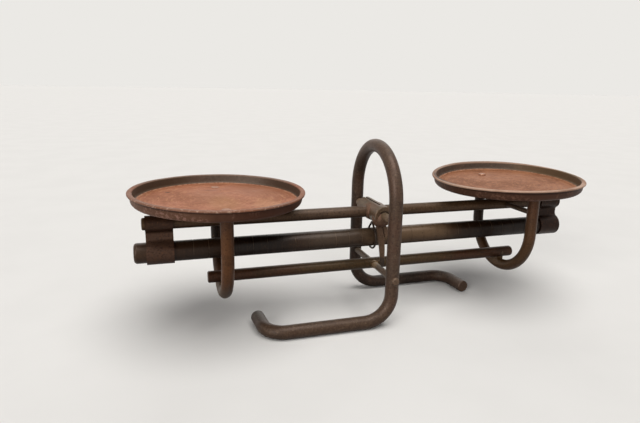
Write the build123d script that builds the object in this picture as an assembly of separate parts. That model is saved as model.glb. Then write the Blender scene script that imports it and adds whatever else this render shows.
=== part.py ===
from build123d import *
import os
from math import asin, cos, radians, sin

# Two-pan counter balance of bent and welded round steel bar, in millimetres.
# Origin: on the surface it stands on, midway between the legs.
# +X runs along the beam to the right, +Y to the back, +Z up.

# Stand: one round bar, bent into foot, leg, arch, leg and foot
STAND_RADIUS = 6.0
LEG_SPREAD = 45.6              # from the middle plane to each leg's axis
ARCH_TOP = 157.0               # highest point of the bar's axis
FOOT_BEND = 24.5               # bend from leg to foot, on the axis
TOE_BEND = 17.5                # bend from foot to toe, on the axis
TOE_ANGLE = 86.0               # degrees the toe is turned inwards
FRONT_FOOT = 111.2             # from the leg's axis to the foot's corner
BACK_FOOT = 105.0
FRONT_TOE = 37.3               # from the foot's corner to the bar's end
BACK_TOE = 38.5
BAR_CHAMFER = 0.8
ARCH_CLEAR = 0.05              # straight left between the arch's two bends

# Beam, turning about the main shaft
PIVOT_HEIGHT = 95.8
BEAM_RADIUS = 5.25
BEAM_LEFT = -207.8
BEAM_RIGHT = 204.8
HUB_RADIUS = 9.0
HUB_HALF_LENGTH = 23.0
HUB_SLIT_WIDTH = 1.8
HUB_SLIT_DEPTH = 2.6
HUB_SLIT_X = -0.9
HUB_SLIT_FRONT = -14.4         # the slit runs from here out through the hub's back end
HUB_RECESS_RADIUS = 5.4        # recess round the shaft at each end
HUB_RECESS_DEPTH = 2.0
HUB_CHAMFER = 0.6
SHAFT_RADIUS = 3.8
JOURNAL_RADIUS = 2.5
JOURNAL_DEPTH = 8.0            # journal's length from the inner face of a leg
JOURNAL_CHAMFER = 0.5
WELD_THROAT = 3.2              # how far a bead stands out from its half beam
WELD_REACH = 1.8               # and from the hub

# Graduated tube slung below the beam
TUBE_HEIGHT = 70.8
TUBE_RADIUS = 8.7
TUBE_WALL = 3.2
TUBE_LEFT = -215.3
TUBE_RIGHT = 204.8
TUBE_END_ROUND = 2.8
PLUG_LENGTH_LEFT = 8.0
PLUG_LENGTH_RIGHT = 26.9       # longer, to balance the tube's longer left end
MARK_ZERO = -2.0               # where the rider stands at rest
MARK_PITCH = 12.7
MARK_WIDTH = 0.5
MARK_DEPTH = 0.25
MARK_CLEAR = 4.0               # no marks nearer than this to a strap

# Straps wrapped round beam and tube
STRAP_THICK = 1.6
STRAP_WIDTH = 22.3
STRAP_LEFT = -193.95           # middle of each strap
STRAP_RIGHT = 194.25
STRAP_NECK_FILLET = 3.5

# Pointer under the front end of the hub: a blade and a short tongue, as (height, middle, half width)
POINTER_THICK = 2.2
POINTER_LEAN = 8.0             # degrees, tip forward
POINTER_TOP_Y = -16.6
POINTER_BLADE = ((91.0, -4.6, 2.1), (73.0, -0.8, 2.75), (57.5, -0.1, 2.0), (48.1, 0.0, 1.0))
POINTER_TONGUE = ((91.0, 0.4, 1.2), (82.0, 3.2, 1.8), (75.5, 4.4, 1.9))
POINTER_SLIT_TOP = 84.5        # blade and tongue are one plate above this
POINTER_WELD_RADIUS = 8.0      # lump that holds the pointer to the hub and the shaft
POINTER_WELD_MIDDLE = (-1.5, -17.0, 92.5)

# Rider: teardrop loop of wire round the tube
WIRE_RADIUS = 0.95
RIDER_LOOP = 10.5
RIDER_CENTRE = 70.5
RIDER_APEX = 85.6              # where the straight runs would meet
RIDER_APEX_BEND = 1.3

# Lower stay and the cross rod it turns on
STAY_HEIGHT = 44.5
STAY_RADIUS = 5.2
STAY_LEFT = -155.7
STAY_RIGHT = 155.8
STAY_END_ROUND_LEFT = 0.8
STAY_END_ROUND_RIGHT = 2.4
CROSS_ROD_RADIUS = 3.0
BUTTON_RADIUS = 3.6
BUTTON_HEIGHT = 2.2
HEAD_ROUND = 0.8               # share of a peened head's height that is rounded
BUSH_RADIUS = 3.8
BUSH_HALF_LENGTH = 5.9
STAY_PIN_RADIUS = 1.5
STAY_PIN_HALF_LENGTH = 4.95

# Hangers and pans
HANGER_PLACE = 142.8           # from the main pivot to each hanger's plane
HANGER_RADIUS = 5.25
HANGER_SPREAD = 42.8           # from the middle plane to each leg's axis
HANGER_BOTTOM = 32.1           # lowest point of the bar's axis
HANGER_PIN_RADIUS = 2.4
HANGER_PIN_HALF_LENGTH = 45.0
HANGER_PIN_CHAMFER = 0.4
LUG_THICK = 3.6
LUG_RADIUS = 3.2
PAN_CENTRE = {-1: (-144.45, -3.0, 123.0), 1: (144.0, 3.5, 124.3)}    # middle of the rim
PAN_LEAN = {-1: (0.85, 0.9), 1: (1.95, -1.7)}    # degrees about X and Y, as bent by hand
PAN_RIM_RADIUS = 73.2
PAN_WALL_TOP_RADIUS = 71.2     # outside of the wall
PAN_WALL_LOW_RADIUS = 70.4
PAN_DEPTH = 7.8                # from the rim down to the floor
PAN_SHEET = 2.2
PAN_LIP = 1.9
PAN_CORNER = 4.2               # outside corner of wall and floor
PAN_FLOOR_CORNER = 2.4         # inside corner of wall and floor
PAN_RIM_TOP_ROUND = 0.8        # rounds of the rim's edge, above and below
PAN_RIM_LOW_ROUND = 0.7
PAN_RIM_ROOT_ROUND = 0.8       # where the rim leaves the wall
PAN_MOUTH_ROUND = 1.0          # where the wall turns out into the rim
RIVET_RADIUS = 2.0
RIVET_HEAD_RADIUS = 3.8
RIVET_HEAD_HEIGHT = {-1: 0.5, 1: 1.8}    # the left pan's are beaten nearly flush
RIVET_SEAT = (4.0, 0.2)        # radius and depth of the floor pressed in under a head
RIVET_DEPTH = 8.0              # shank's length in the hanger's leg

# Clearances between pieces that move on each other
RUNNING = 0.05                 # radial, shafts in their holes
OPEN_PIVOT = 0.3               # radial, stay pins in the lugs
SLOT_CLEAR = 0.4               # lug in the stay's slot
END_CLEAR = 0.6                # ends of shafts and pins


def cylinder_x(radius, x_low, x_high, z):
    """Round bar along X."""
    start = Plane((x_low, 0, z), x_dir=(0, 1, 0), z_dir=(1, 0, 0))
    return extrude(start * Circle(radius), x_high - x_low)


def cylinder_y(radius, y_low, y_high, x, z):
    """Round bar along Y."""
    start = Plane((x, y_low, z), x_dir=(1, 0, 0), z_dir=(0, 1, 0))
    return extrude(start * Circle(radius), y_high - y_low)


def cylinder_z(radius, x, y, z_low, z_high):
    """Round bar along Z."""
    return extrude(Plane((x, y, z_low)) * Circle(radius), z_high - z_low)


def swept_bar(path, radius):
    """Round bar along a path of lines and tangent arcs."""
    return sweep(Plane(origin=path @ 0, z_dir=path % 0) * Circle(radius), path=path)


def end_edges(bar, axis, highest):
    """Round edge of the bar's last or first face along an axis."""
    return bar.faces().sort_by(axis)[-1 if highest else 0].edges()


# ---------------------------------------------------------------- stand

def stand_bar():
    """The bent bar before any hole is drilled."""
    along, inward = cos(radians(TOE_ANGLE)), sin(radians(TOE_ANGLE))
    arch_bend = LEG_SPREAD - ARCH_CLEAR
    path = FilletPolyline(
        (-FRONT_FOOT - FRONT_TOE * along, -LEG_SPREAD + FRONT_TOE * inward, STAND_RADIUS),
        (-FRONT_FOOT, -LEG_SPREAD, STAND_RADIUS),
        (0, -LEG_SPREAD, STAND_RADIUS),
        (0, -LEG_SPREAD, ARCH_TOP),
        (0, LEG_SPREAD, ARCH_TOP),
        (0, LEG_SPREAD, STAND_RADIUS),
        (BACK_FOOT, LEG_SPREAD, STAND_RADIUS),
        (BACK_FOOT + BACK_TOE * along, LEG_SPREAD - BACK_TOE * inward, STAND_RADIUS),
        radius=(TOE_BEND, FOOT_BEND, arch_bend, arch_bend, FOOT_BEND, TOE_BEND),
    )
    bar = swept_bar(path, STAND_RADIUS)
    flat_ends = bar.faces().filter_by(GeomType.PLANE)
    return chamfer(flat_ends.edges(), BAR_CHAMFER)


def stand_frame():
    """Stand with the blind shaft holes and the cross rod's holes."""
    blind = LEG_SPREAD - STAND_RADIUS + JOURNAL_DEPTH + END_CLEAR
    frame = stand_bar()
    frame -= cylinder_y(JOURNAL_RADIUS + RUNNING, -blind, blind, 0, PIVOT_HEIGHT)
    frame -= cylinder_y(CROSS_ROD_RADIUS, -LEG_SPREAD * 2, LEG_SPREAD * 2, 0, STAY_HEIGHT)
    return frame


def lower_cross_rod():
    """Rod through both legs, peened over into a button on each outer face."""
    outer = LEG_SPREAD + STAND_RADIUS
    rod = cylinder_y(CROSS_ROD_RADIUS, -outer, outer, 0, STAY_HEIGHT)
    for side in (-1, 1):
        base = side * (outer - BUTTON_HEIGHT)
        tip = side * (outer + BUTTON_HEIGHT)
        button = cylinder_y(BUTTON_RADIUS, min(base, tip), max(base, tip), 0, STAY_HEIGHT)
        button = fillet(end_edges(button, Axis.Y, side > 0), BUTTON_HEIGHT * HEAD_ROUND)
        rod += button - stand_bar()
    return rod


# ---------------------------------------------------------------- beam

def hub_sleeve():
    """Thick sleeve on the main shaft, slit along its top."""
    hub = cylinder_y(HUB_RADIUS, -HUB_HALF_LENGTH, HUB_HALF_LENGTH, 0, PIVOT_HEIGHT)
    hub = chamfer(hub.faces().filter_by(GeomType.PLANE).edges(), HUB_CHAMFER)
    hub -= cylinder_y(SHAFT_RADIUS, -HUB_HALF_LENGTH, HUB_HALF_LENGTH, 0, PIVOT_HEIGHT)
    floor = HUB_HALF_LENGTH - HUB_RECESS_DEPTH
    hub -= cylinder_y(HUB_RECESS_RADIUS, -HUB_HALF_LENGTH, -floor, 0, PIVOT_HEIGHT)
    hub -= cylinder_y(HUB_RECESS_RADIUS, floor, HUB_HALF_LENGTH, 0, PIVOT_HEIGHT)
    slit_length = (HUB_HALF_LENGTH - HUB_SLIT_FRONT) * 2
    slit = Box(HUB_SLIT_WIDTH, slit_length, HUB_SLIT_DEPTH * 2)
    return hub - Pos(HUB_SLIT_X, HUB_HALF_LENGTH, PIVOT_HEIGHT + HUB_RADIUS) * slit


def main_shaft():
    """Shaft pressed in the hub, with a thinner journal at each end."""
    shoulder = LEG_SPREAD - STAND_RADIUS - END_CLEAR
    end = LEG_SPREAD - STAND_RADIUS + JOURNAL_DEPTH
    shaft = cylinder_y(SHAFT_RADIUS, -shoulder, shoulder, 0, PIVOT_HEIGHT)
    journal = cylinder_y(JOURNAL_RADIUS, -end, end, 0, PIVOT_HEIGHT)
    return shaft + chamfer(journal.faces().filter_by(GeomType.PLANE).edges(), JOURNAL_CHAMFER)


def beam_rod(side):
    """Half beam, its inner end coped to the hub and its outer end broken."""
    low, high = (BEAM_LEFT, 0) if side < 0 else (0, BEAM_RIGHT)
    rod = cylinder_x(BEAM_RADIUS, low, high, PIVOT_HEIGHT)
    rod = chamfer(end_edges(rod, Axis.X, side > 0), BAR_CHAMFER)
    rod -= cylinder_y(HUB_RADIUS, -HUB_RADIUS, HUB_RADIUS, 0, PIVOT_HEIGHT)
    pin_place = side * HANGER_PLACE
    return rod - cylinder_y(HANGER_PIN_RADIUS, -BEAM_RADIUS, BEAM_RADIUS, pin_place, PIVOT_HEIGHT)


def hub_weld(side):
    """Bead of even thickness round the butt of half beam and hub."""
    reach = HUB_RADIUS + WELD_REACH
    low, high = (-reach, 0) if side < 0 else (0, reach)
    collar = cylinder_x(BEAM_RADIUS + WELD_THROAT, low, high, PIVOT_HEIGHT)
    bead = collar & cylinder_y(reach, -reach, reach, 0, PIVOT_HEIGHT)
    bead -= cylinder_x(BEAM_RADIUS, -reach, reach, PIVOT_HEIGHT)
    return bead - cylinder_y(HUB_RADIUS, -reach, reach, 0, PIVOT_HEIGHT)


def mark_places():
    """Places of the ring marks between the straps."""
    low = STRAP_LEFT + STRAP_WIDTH / 2 + MARK_CLEAR
    high = STRAP_RIGHT - STRAP_WIDTH / 2 - MARK_CLEAR
    first = -int((MARK_ZERO - low) / MARK_PITCH)
    last = int((high - MARK_ZERO) / MARK_PITCH)
    return [MARK_ZERO + MARK_PITCH * step for step in range(first, last + 1)]


def scale_tube():
    """Tube with rounded ends and a shallow ring cut at each mark."""
    tube = cylinder_x(TUBE_RADIUS, TUBE_LEFT, TUBE_RIGHT, TUBE_HEIGHT)
    tube = fillet(tube.faces().filter_by(GeomType.PLANE).edges(), TUBE_END_ROUND)
    tube -= cylinder_x(TUBE_RADIUS - TUBE_WALL, TUBE_LEFT, TUBE_RIGHT, TUBE_HEIGHT)
    for place in mark_places():
        low, high = place - MARK_WIDTH / 2, place + MARK_WIDTH / 2
        ring = cylinder_x(TUBE_RADIUS + 1, low, high, TUBE_HEIGHT)
        ring -= cylinder_x(TUBE_RADIUS - MARK_DEPTH, low, high, TUBE_HEIGHT)
        tube -= ring
    return tube


def tube_plug(side):
    """Plug flush with the tube's end."""
    bore = TUBE_RADIUS - TUBE_WALL
    if side < 0:
        return cylinder_x(bore, TUBE_LEFT, TUBE_LEFT + PLUG_LENGTH_LEFT, TUBE_HEIGHT)
    return cylinder_x(bore, TUBE_RIGHT - PLUG_LENGTH_RIGHT, TUBE_RIGHT, TUBE_HEIGHT)


def strap(place):
    """Band wrapped round beam and tube and pinched between them."""
    section = Pos(0, PIVOT_HEIGHT) * Circle(BEAM_RADIUS + STRAP_THICK)
    section += Pos(0, TUBE_HEIGHT) * Circle(TUBE_RADIUS + STRAP_THICK)
    neck_height = PIVOT_HEIGHT - TUBE_HEIGHT
    section += Pos(0, (PIVOT_HEIGHT + TUBE_HEIGHT) / 2) * Rectangle(STRAP_THICK * 2, neck_height)
    section = fillet(section.vertices(), STRAP_NECK_FILLET)
    section -= Pos(0, PIVOT_HEIGHT) * Circle(BEAM_RADIUS)
    section -= Pos(0, TUBE_HEIGHT) * Circle(TUBE_RADIUS)
    start = Plane((place - STRAP_WIDTH / 2, 0, 0), x_dir=(0, 1, 0), z_dir=(1, 0, 0))
    return extrude(start * section, STRAP_WIDTH)


def pointer_plane():
    """Plane of the pointer's plate, facing forward, with its height 0 at the pivot."""
    upright = Plane((0, POINTER_TOP_Y, PIVOT_HEIGHT), x_dir=(1, 0, 0), z_dir=(0, -1, 0))
    return upright.rotated((-POINTER_LEAN, 0, 0))


def ribbon(stations):
    """Flat strip through (height, middle, half width), its long edges smooth."""
    left = [(middle - half, height - PIVOT_HEIGHT) for height, middle, half in stations]
    right = [(middle + half, height - PIVOT_HEIGHT) for height, middle, half in stations]
    outline = Spline(*left) + Line(left[-1], right[-1])
    outline += Spline(*reversed(right)) + Line(right[0], left[0])
    return make_face(outline)


def pointer():
    """Blade that ends over the cross rod and a short tongue beside it, in one plate."""
    top, blade_x, _ = POINTER_BLADE[0]
    _, tongue_x, _ = POINTER_TONGUE[0]
    middle = (POINTER_SLIT_TOP + top) / 2 - PIVOT_HEIGHT
    bridge = Rectangle(tongue_x - blade_x, top - POINTER_SLIT_TOP)
    outline = ribbon(POINTER_BLADE) + ribbon(POINTER_TONGUE)
    outline += Pos((blade_x + tongue_x) / 2, middle) * bridge
    plate = extrude(pointer_plane() * outline, POINTER_THICK / 2, both=True)
    return plate - cylinder_y(HUB_RADIUS, -HUB_HALF_LENGTH, HUB_HALF_LENGTH, 0, PIVOT_HEIGHT)


def pointer_weld():
    """Lump of weld in front of the pointer, on the hub's end and round the shaft."""
    lump = Pos(*POINTER_WELD_MIDDLE) * Sphere(POINTER_WELD_RADIUS)
    size = POINTER_WELD_RADIUS * 4
    behind = Pos(0, 0, -size / 2) * Box(size, size, size)
    lump -= pointer_plane().location * behind
    return lump - hub_sleeve() - main_shaft() - pointer()


def hanger_pin(side):
    """Cross pin pressed in the beam, its ends turning in the hanger's legs."""
    pin = cylinder_y(
        HANGER_PIN_RADIUS,
        -HANGER_PIN_HALF_LENGTH,
        HANGER_PIN_HALF_LENGTH,
        side * HANGER_PLACE,
        PIVOT_HEIGHT,
    )
    return chamfer(pin.faces().filter_by(GeomType.PLANE).edges(), HANGER_PIN_CHAMFER)


# ---------------------------------------------------------------- rider

def rider_loop():
    """Closed teardrop of wire, in the plane of the zero mark."""
    half_angle = asin(RIDER_LOOP / (RIDER_APEX - RIDER_CENTRE))
    across, up = cos(half_angle), sin(half_angle)
    side_y, side_z = RIDER_LOOP * across, RIDER_CENTRE + RIDER_LOOP * up
    bend_z = RIDER_APEX - RIDER_APEX_BEND / up
    top_y, top_z = RIDER_APEX_BEND * across, bend_z + RIDER_APEX_BEND * up
    x = MARK_ZERO
    bottom = (x, 0, RIDER_CENTRE - RIDER_LOOP)
    path = ThreePointArc((x, side_y, side_z), bottom, (x, -side_y, side_z))
    path += Line((x, -side_y, side_z), (x, -top_y, top_z))
    apex = (x, 0, bend_z + RIDER_APEX_BEND)
    path += ThreePointArc((x, -top_y, top_z), apex, (x, top_y, top_z))
    path += Line((x, top_y, top_z), (x, side_y, side_z))
    return swept_bar(path, WIRE_RADIUS)


# ---------------------------------------------------------------- stay

def lower_stay():
    """Bar with a bushed hole at its middle and a slot and pin hole at each end."""
    stay = cylinder_x(STAY_RADIUS, STAY_LEFT, STAY_RIGHT, STAY_HEIGHT)
    stay = fillet(end_edges(stay, Axis.X, True), STAY_END_ROUND_RIGHT)
    stay = chamfer(end_edges(stay, Axis.X, False), STAY_END_ROUND_LEFT)
    stay -= cylinder_y(BUSH_RADIUS, -STAY_RADIUS, STAY_RADIUS, 0, STAY_HEIGHT)
    slot_top = STAY_HEIGHT + LUG_RADIUS + SLOT_CLEAR
    slot_length = (LUG_RADIUS + SLOT_CLEAR * 2) * 2
    for side in (-1, 1):
        place = side * HANGER_PLACE
        slot = Box(slot_length, LUG_THICK + SLOT_CLEAR * 2, STAY_RADIUS * 2)
        stay -= Pos(place, 0, slot_top - STAY_RADIUS) * slot
        stay -= cylinder_y(STAY_PIN_RADIUS, -STAY_RADIUS, STAY_RADIUS, place, STAY_HEIGHT)
    return stay


def stay_bush():
    """Thin bush that turns on the cross rod."""
    bush = cylinder_y(BUSH_RADIUS, -BUSH_HALF_LENGTH, BUSH_HALF_LENGTH, 0, STAY_HEIGHT)
    bore = CROSS_ROD_RADIUS + RUNNING
    return bush - cylinder_y(bore, -BUSH_HALF_LENGTH, BUSH_HALF_LENGTH, 0, STAY_HEIGHT)


def stay_pin(side):
    """Small pin across the slot."""
    half = STAY_PIN_HALF_LENGTH
    return cylinder_y(STAY_PIN_RADIUS, -half, half, side * HANGER_PLACE, STAY_HEIGHT)


# ---------------------------------------------------------------- hangers and pans

def pan_place(side):
    """Where a pan's rim is, with the rim's middle as its origin."""
    return Pos(*PAN_CENTRE[side]) * Rotation(*PAN_LEAN[side], 0)


def rivet_spots(side):
    """A pan's two rivets, in the pan's own plane."""
    x, y, z = PAN_CENTRE[side]
    return [(side * HANGER_PLACE - x, leg - y) for leg in (-HANGER_SPREAD, HANGER_SPREAD)]


def rivet_shank(side, spot):
    """Shank from the pan's floor down into the hanger's leg."""
    low = -PAN_DEPTH - PAN_SHEET - RIVET_DEPTH
    return pan_place(side) * cylinder_z(RIVET_RADIUS, *spot, low, -PAN_DEPTH)


def hanger_bar(side):
    """U-bent bar, cut off at the pan's underside, before any hole is drilled."""
    x = side * HANGER_PLACE
    bend_centre = HANGER_BOTTOM + HANGER_SPREAD
    top = PAN_CENTRE[side][2]
    front, back = (x, -HANGER_SPREAD, bend_centre), (x, HANGER_SPREAD, bend_centre)
    path = Line((x, -HANGER_SPREAD, top), front)
    path += ThreePointArc(front, (x, 0, HANGER_BOTTOM), back)
    path += Line(back, (x, HANGER_SPREAD, top))
    above = Box(PAN_RIM_RADIUS, PAN_RIM_RADIUS * 2, PAN_RIM_RADIUS)
    above = pan_place(side) * Pos(0, 0, PAN_RIM_RADIUS / 2 - PAN_DEPTH - PAN_SHEET) * above
    return swept_bar(path, HANGER_RADIUS) - above


def hanger(side):
    """Hanger with blind holes for its pin and its rivets."""
    blind = HANGER_PIN_HALF_LENGTH + END_CLEAR
    bar = hanger_bar(side)
    bar -= cylinder_y(HANGER_PIN_RADIUS + RUNNING, -blind, blind, side * HANGER_PLACE, PIVOT_HEIGHT)
    for spot in rivet_spots(side):
        bar -= rivet_shank(side, spot)
    return bar


def hanger_lug(side):
    """Tongue standing on the bottom of the U, with an eye for the stay's pin."""
    x = side * HANGER_PLACE
    half = LUG_THICK / 2
    lug = cylinder_y(LUG_RADIUS, -half, half, x, STAY_HEIGHT)
    shank_height = STAY_HEIGHT - HANGER_BOTTOM
    lug += Pos(x, 0, HANGER_BOTTOM + shank_height / 2) * Box(LUG_RADIUS * 2, LUG_THICK, shank_height)
    lug -= cylinder_y(STAY_PIN_RADIUS + OPEN_PIVOT, -half, half, x, STAY_HEIGHT)
    return lug - hanger_bar(side)


def pan_section():
    """Half section of a pan, with the rim's top at height 0."""
    floor = -PAN_DEPTH
    under = floor - PAN_SHEET
    wall_low_inner = PAN_WALL_LOW_RADIUS - PAN_SHEET
    wall_top_inner = PAN_WALL_TOP_RADIUS - PAN_SHEET
    corners = (
        (0, under, 0),
        (PAN_WALL_LOW_RADIUS, under, PAN_CORNER),
        (PAN_WALL_TOP_RADIUS, -PAN_LIP, PAN_RIM_ROOT_ROUND),
        (PAN_RIM_RADIUS, -PAN_LIP, PAN_RIM_LOW_ROUND),
        (PAN_RIM_RADIUS, 0, PAN_RIM_TOP_ROUND),
        (wall_top_inner, 0, PAN_MOUTH_ROUND),
        (wall_low_inner, floor, PAN_FLOOR_CORNER),
        (0, floor, 0),
    )
    outline = Polyline([(radius, height) for radius, height, size in corners], close=True)
    section = make_face(Plane.XZ * outline)
    for radius, height, size in corners:
        if size:
            section = fillet(section.vertices().sort_by_distance((radius, 0, height))[0], size)
    return section


def pan(side):
    """Dished pan turned from one section, with its two rivet holes."""
    dish = pan_place(side) * revolve(pan_section(), Axis.Z)
    seat_radius, seat_depth = RIVET_SEAT
    for spot in rivet_spots(side):
        dish -= rivet_shank(side, spot)
        dish -= pan_place(side) * cylinder_z(seat_radius, *spot, -PAN_DEPTH - seat_depth, -PAN_DEPTH)
    return dish


def pan_rivets(side):
    """Two rivets from the pan's floor into the hanger's legs."""
    rivets = []
    for spot in rivet_spots(side):
        seat = -PAN_DEPTH - RIVET_SEAT[1]
        height = RIVET_HEAD_HEIGHT[side]
        head = cylinder_z(RIVET_HEAD_RADIUS, *spot, seat, seat + height)
        head = fillet(end_edges(head, Axis.Z, True), height * HEAD_ROUND)
        rivets.append(pan_place(side) * head + rivet_shank(side, spot))
    return Compound(children=rivets)


def all_nodes():
    """Every node's name and shape."""
    nodes = {
        "stand_frame": stand_frame(),
        "lower_cross_rod": lower_cross_rod(),
        "hub_sleeve": hub_sleeve(),
        "main_shaft": main_shaft(),
        "scale_tube": scale_tube(),
        "strap_left": strap(STRAP_LEFT),
        "strap_right": strap(STRAP_RIGHT),
        "pointer": pointer(),
        "pointer_weld": pointer_weld(),
        "rider_loop": rider_loop(),
        "lower_stay": lower_stay(),
        "stay_bush": stay_bush(),
    }
    for name, side in (("left", -1), ("right", 1)):
        nodes[f"beam_rod_{name}"] = beam_rod(side)
        nodes[f"hub_weld_{name}"] = hub_weld(side)
        nodes[f"tube_plug_{name}"] = tube_plug(side)
        nodes[f"hanger_pin_{name}"] = hanger_pin(side)
        nodes[f"stay_pin_{name}"] = stay_pin(side)
        nodes[f"hanger_{name}"] = hanger(side)
        nodes[f"hanger_lug_{name}"] = hanger_lug(side)
        nodes[f"pan_{name}"] = pan(side)
        nodes[f"pan_rivets_{name}"] = pan_rivets(side)
    return nodes


os.makedirs("parts", exist_ok=True)
for node_name, shape in all_nodes().items():
    export_step(shape, f"parts/{node_name}.step")
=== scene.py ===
"""Looks of a two-pan counter balance made of bent and welded round bar.

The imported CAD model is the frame: its nodes keep their places and get finishes here, and the pans
and the weld beads are replaced by finer meshes. Sizes in the dataclasses are millimetres, and
meshes are metres. +X runs along the beam to the right, +Y to the back and +Z up.
"""
import sys
import logging
import math
from collections.abc import Iterable
from dataclasses import dataclass
from enum import Enum
from typing import Any

import bmesh
import bpy
from bmesh.types import BMesh, BMVert
from bpy.types import Material, Node, Object
from bpy.types import NodeSocket as Socket
from bpy.types import NodeTree as Tree
from mathutils import Euler, Matrix, Vector, noise


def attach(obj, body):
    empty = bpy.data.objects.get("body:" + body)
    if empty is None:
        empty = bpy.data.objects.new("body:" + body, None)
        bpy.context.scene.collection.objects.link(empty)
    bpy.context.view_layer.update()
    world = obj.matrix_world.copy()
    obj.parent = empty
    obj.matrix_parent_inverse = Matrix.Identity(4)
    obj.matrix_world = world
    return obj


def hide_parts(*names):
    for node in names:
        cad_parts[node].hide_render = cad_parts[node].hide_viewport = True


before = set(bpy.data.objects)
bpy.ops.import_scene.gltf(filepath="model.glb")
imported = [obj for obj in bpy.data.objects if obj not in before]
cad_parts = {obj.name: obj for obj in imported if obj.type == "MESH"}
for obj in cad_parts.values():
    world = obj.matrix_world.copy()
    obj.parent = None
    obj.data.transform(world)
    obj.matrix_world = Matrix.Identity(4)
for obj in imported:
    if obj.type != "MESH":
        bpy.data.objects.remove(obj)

LOG = logging.getLogger("counter_balance")
MM = 0.001

PIVOT_HEIGHT = 95.8
BEAM_RADIUS = 5.25
HUB_RADIUS = 9.0

# Two values, such as a radius and a height; three along X, Y and Z; one closed ring of a mesh.
Pair = tuple[float, float]
Triple = tuple[float, float, float]
Ring = list[BMVert]

SMOOTH = {"interpolation_type": "SMOOTHSTEP"}
COLOURS = {"data_type": "RGBA"}
SKY_RAYS = {"samples": 8}
# Sockets of a node that mixes colours, whose names aren't unique: its two inputs and its result.
FIRST, SECOND, MIXED = 6, 7, 2
# Noise levels between which a surface turns from one roughness to the other, and the share of its
# relief that tilts the light.
GLOSS_LEVELS = (0.3, 0.7)
BUMP_SHARE = 0.6


class Side(Enum):
    """The two ends of the beam, with the sign of X."""

    LEFT = -1
    RIGHT = 1

    @property
    def word(self) -> str:
        """The side's name as the nodes spell it."""
        return self.name.lower()


class Lay(Enum):
    """Which way rubbing has drawn its marks, as cells' proportions along X, Y and Z."""

    ALONG_X = (14.0, 1.0, 1.0)
    ALONG_Y = (1.0, 14.0, 1.0)
    ALONG_Z = (1.0, 1.0, 14.0)
    ROUND_X = (1.0, 18.0, 18.0)
    EVEN = (2.5, 2.5, 2.5)


# ---- small helpers


def linear(code: str) -> tuple[float, float, float, float]:
    """Turn an sRGB hex colour into linear RGBA.

    Args:
        code: Colour such as "#5f4d41".

    Returns:
        Linear red, green, blue and an alpha of 1.
    """
    parts = [int(code[i : i + 2], 16) / 255 for i in (1, 3, 5)]
    low = [c / 12.92 if c <= 0.04045 else ((c + 0.055) / 1.055) ** 2.4 for c in parts]
    return (low[0], low[1], low[2], 1.0)


def per_metre(size: float) -> float:
    """Texture scale whose cells are size millimetres wide."""
    return 1.0 / (size * MM)


def add(
    tree: Tree,
    kind: str,
    settings: dict[str, Any] | None = None,
    inputs: dict[str | int, Any] | None = None,
) -> Node:
    """Add one shader node.

    Args:
        tree: Node tree to add to.
        kind: Node type without its "ShaderNode" beginning.
        settings: Attributes of the node itself.
        inputs: Input sockets by name or index, each a value or a socket to link from.

    Returns:
        The new node.
    """
    node = tree.nodes.new("ShaderNode" + kind)
    for name, value in (settings or {}).items():
        setattr(node, name, value)
    for name, value in (inputs or {}).items():
        if isinstance(value, Socket):
            tree.links.new(value, node.inputs[name])
        else:
            node.inputs[name].default_value = value
    return node


def paint(tree: Tree, colour: Socket | str, *layers: tuple[Any, ...]) -> Socket:
    """Lay colours over a colour, each where some value rises or falls through a range.

    Args:
        tree: Node tree to add to.
        colour: Bottom colour, as a hex code or a socket.
        layers: For each colour on top: its hex code or socket, the value that says where it lies,
            the value at which it begins, the value at which it is fullest, and its share there.

    Returns:
        The finished colour's socket.
    """
    for over, value, begin, full, share in layers:
        below, above = (linear(c) if isinstance(c, str) else c for c in (colour, over))
        rise = {"Value": value, "From Min": begin, "From Max": full, "To Max": share}
        amount = add(tree, "MapRange", SMOOTH, rise).outputs["Result"]
        mix = add(tree, "Mix", COLOURS, {"Factor": amount, FIRST: below, SECOND: above})
        colour = mix.outputs[MIXED]
    return colour


def new_material(name: str) -> tuple[Material, Tree, Node]:
    """Make an empty material.

    Args:
        name: Material's name.

    Returns:
        The material, its node tree and its principled shader, wired to the output.
    """
    material = bpy.data.materials.new(name)
    material.use_nodes = True
    tree = material.node_tree
    tree.nodes.clear()
    output = add(tree, "OutputMaterial")
    shader = add(tree, "BsdfPrincipled")
    tree.links.new(shader.outputs["BSDF"], output.inputs["Surface"])
    return material, tree, shader


def wire_surface(
    tree: Tree,
    shader: Node,
    look: "PatinatedSteel | PanSkin",
    colour: Socket,
    clouds: Socket,
    height: Socket,
) -> None:
    """Give a shader its colour, metal, gloss and relief.

    Args:
        tree: Node tree to add to.
        shader: Principled shader.
        look: Finish with metallic, specular, roughness where the clouds are low and high, and relief.
        colour: Finished colour.
        clouds: Noise that the roughness follows.
        height: Height of the relief, as a share.
    """
    tree.links.new(colour, shader.inputs["Base Color"])
    shader.inputs["Metallic"].default_value = look.metallic
    shader.inputs["Specular IOR Level"].default_value = look.specular
    begin, full = GLOSS_LEVELS
    low, high = look.roughness
    gloss = {"Value": clouds, "From Min": begin, "From Max": full, "To Min": low, "To Max": high}
    tree.links.new(add(tree, "MapRange", inputs=gloss).outputs["Result"], shader.inputs["Roughness"])
    relief = {"Height": height, "Strength": BUMP_SHARE, "Distance": look.relief * MM}
    bump = add(tree, "Bump", inputs=relief)
    tree.links.new(bump.outputs["Normal"], shader.inputs["Normal"])


def dress(nodes: Iterable[str], material: Material) -> None:
    """Give CAD nodes a finish.

    Args:
        nodes: Names of the nodes.
        material: Finish for all of their material slots.
    """
    for name in nodes:
        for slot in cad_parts[name].material_slots:
            slot.material = material
        LOG.info("%s: %s", name, material.name)


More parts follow.
